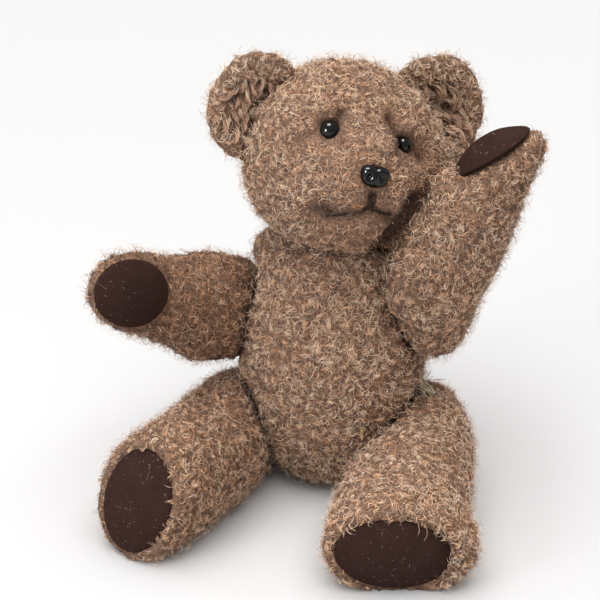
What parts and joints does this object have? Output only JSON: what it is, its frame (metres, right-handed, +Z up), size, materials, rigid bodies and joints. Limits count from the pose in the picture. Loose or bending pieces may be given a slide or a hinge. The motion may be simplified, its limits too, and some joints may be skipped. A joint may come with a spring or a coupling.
{
  "type": "jointed teddy bear",
  "caption": "Old jointed teddy bear sitting up with one arm raised: worn curly plush, felt paw and foot pads, glossy eyes and nose.",
  "frame": {"origin": "middle of the flat seat under the torso, on the surface the bear sits on", "axes": "+Z up, the bear faces -Y, its left side is +X"},
  "size_m": [0.2677, 0.2336, 0.2897],
  "materials": {
    "plush": "matte",
    "felt": "matte",
    "black_plastic": "gloss",
    "thread": "matte",
    "tape": "matte",
    "fibreboard": "matte",
    "steel": "satin"
  },
  "bodies": {
    "torso": {"torso": "plush", "label_stub": "tape", "torso_neck_disc": "fibreboard", "torso_neck_washer": "steel", "torso_shoulder_left_disc": "fibreboard", "torso_shoulder_left_washer": "steel", "torso_hip_left_disc": "fibreboard", "torso_hip_left_washer": "steel", "torso_shoulder_right_disc": "fibreboard", "torso_shoulder_right_washer": "steel", "torso_hip_right_disc": "fibreboard", "torso_hip_right_washer": "steel"},
    "head": {"head": "plush", "ear_left": "plush", "ear_right": "plush", "eye_left": "black_plastic", "eye_right": "black_plastic", "eye_left_lock_washer": "steel", "eye_right_lock_washer": "steel", "nose": "black_plastic", "nose_lock_washer": "steel", "mouth_stitch_centre": "thread", "mouth_stitch_left": "thread", "mouth_stitch_right": "thread", "neck_disc": "fibreboard", "neck_washer": "steel", "neck_cotter_pin": "steel"},
    "arm_left": {"arm_left": "plush", "paw_pad_left": "felt", "shoulder_left_disc": "fibreboard", "shoulder_left_washer": "steel", "shoulder_left_cotter_pin": "steel"},
    "leg_left": {"leg_left": "plush", "foot_pad_left": "felt", "hip_left_disc": "fibreboard", "hip_left_washer": "steel", "hip_left_cotter_pin": "steel"},
    "arm_right": {"arm_right": "plush", "paw_pad_right": "felt", "shoulder_right_disc": "fibreboard", "shoulder_right_washer": "steel", "shoulder_right_cotter_pin": "steel"},
    "leg_right": {"leg_right": "plush", "foot_pad_right": "felt", "hip_right_disc": "fibreboard", "hip_right_washer": "steel", "hip_right_cotter_pin": "steel"}
  },
  "joints": [
    {"name": "neck", "type": "hinge", "parent": "torso", "child": "head", "pos_m": [0, 0.01482, 0.16935], "axis": [0, 0.0872, 0.9962], "range_deg": [-20, 8]},
    {"name": "shoulder_left", "type": "hinge", "parent": "torso", "child": "arm_left", "pos_m": [0.05, -0.004, 0.122], "axis": [-0.9744, 0, -0.225], "range_deg": [-130, 90]},
    {"name": "hip_left", "type": "hinge", "parent": "torso", "child": "leg_left", "pos_m": [0.041, -0.008, 0.034], "axis": [-0.9781, 0, 0.2079], "range_deg": [-90, 15]},
    {"name": "shoulder_right", "type": "hinge", "parent": "torso", "child": "arm_right", "pos_m": [-0.05, -0.004, 0.109], "axis": [-0.9744, 0, 0.225], "range_deg": [-45, 150]},
    {"name": "hip_right", "type": "hinge", "parent": "torso", "child": "leg_right", "pos_m": [-0.041, -0.008, 0.034], "axis": [-0.9781, 0, -0.2079], "range_deg": [-90, 15]}
  ]
}
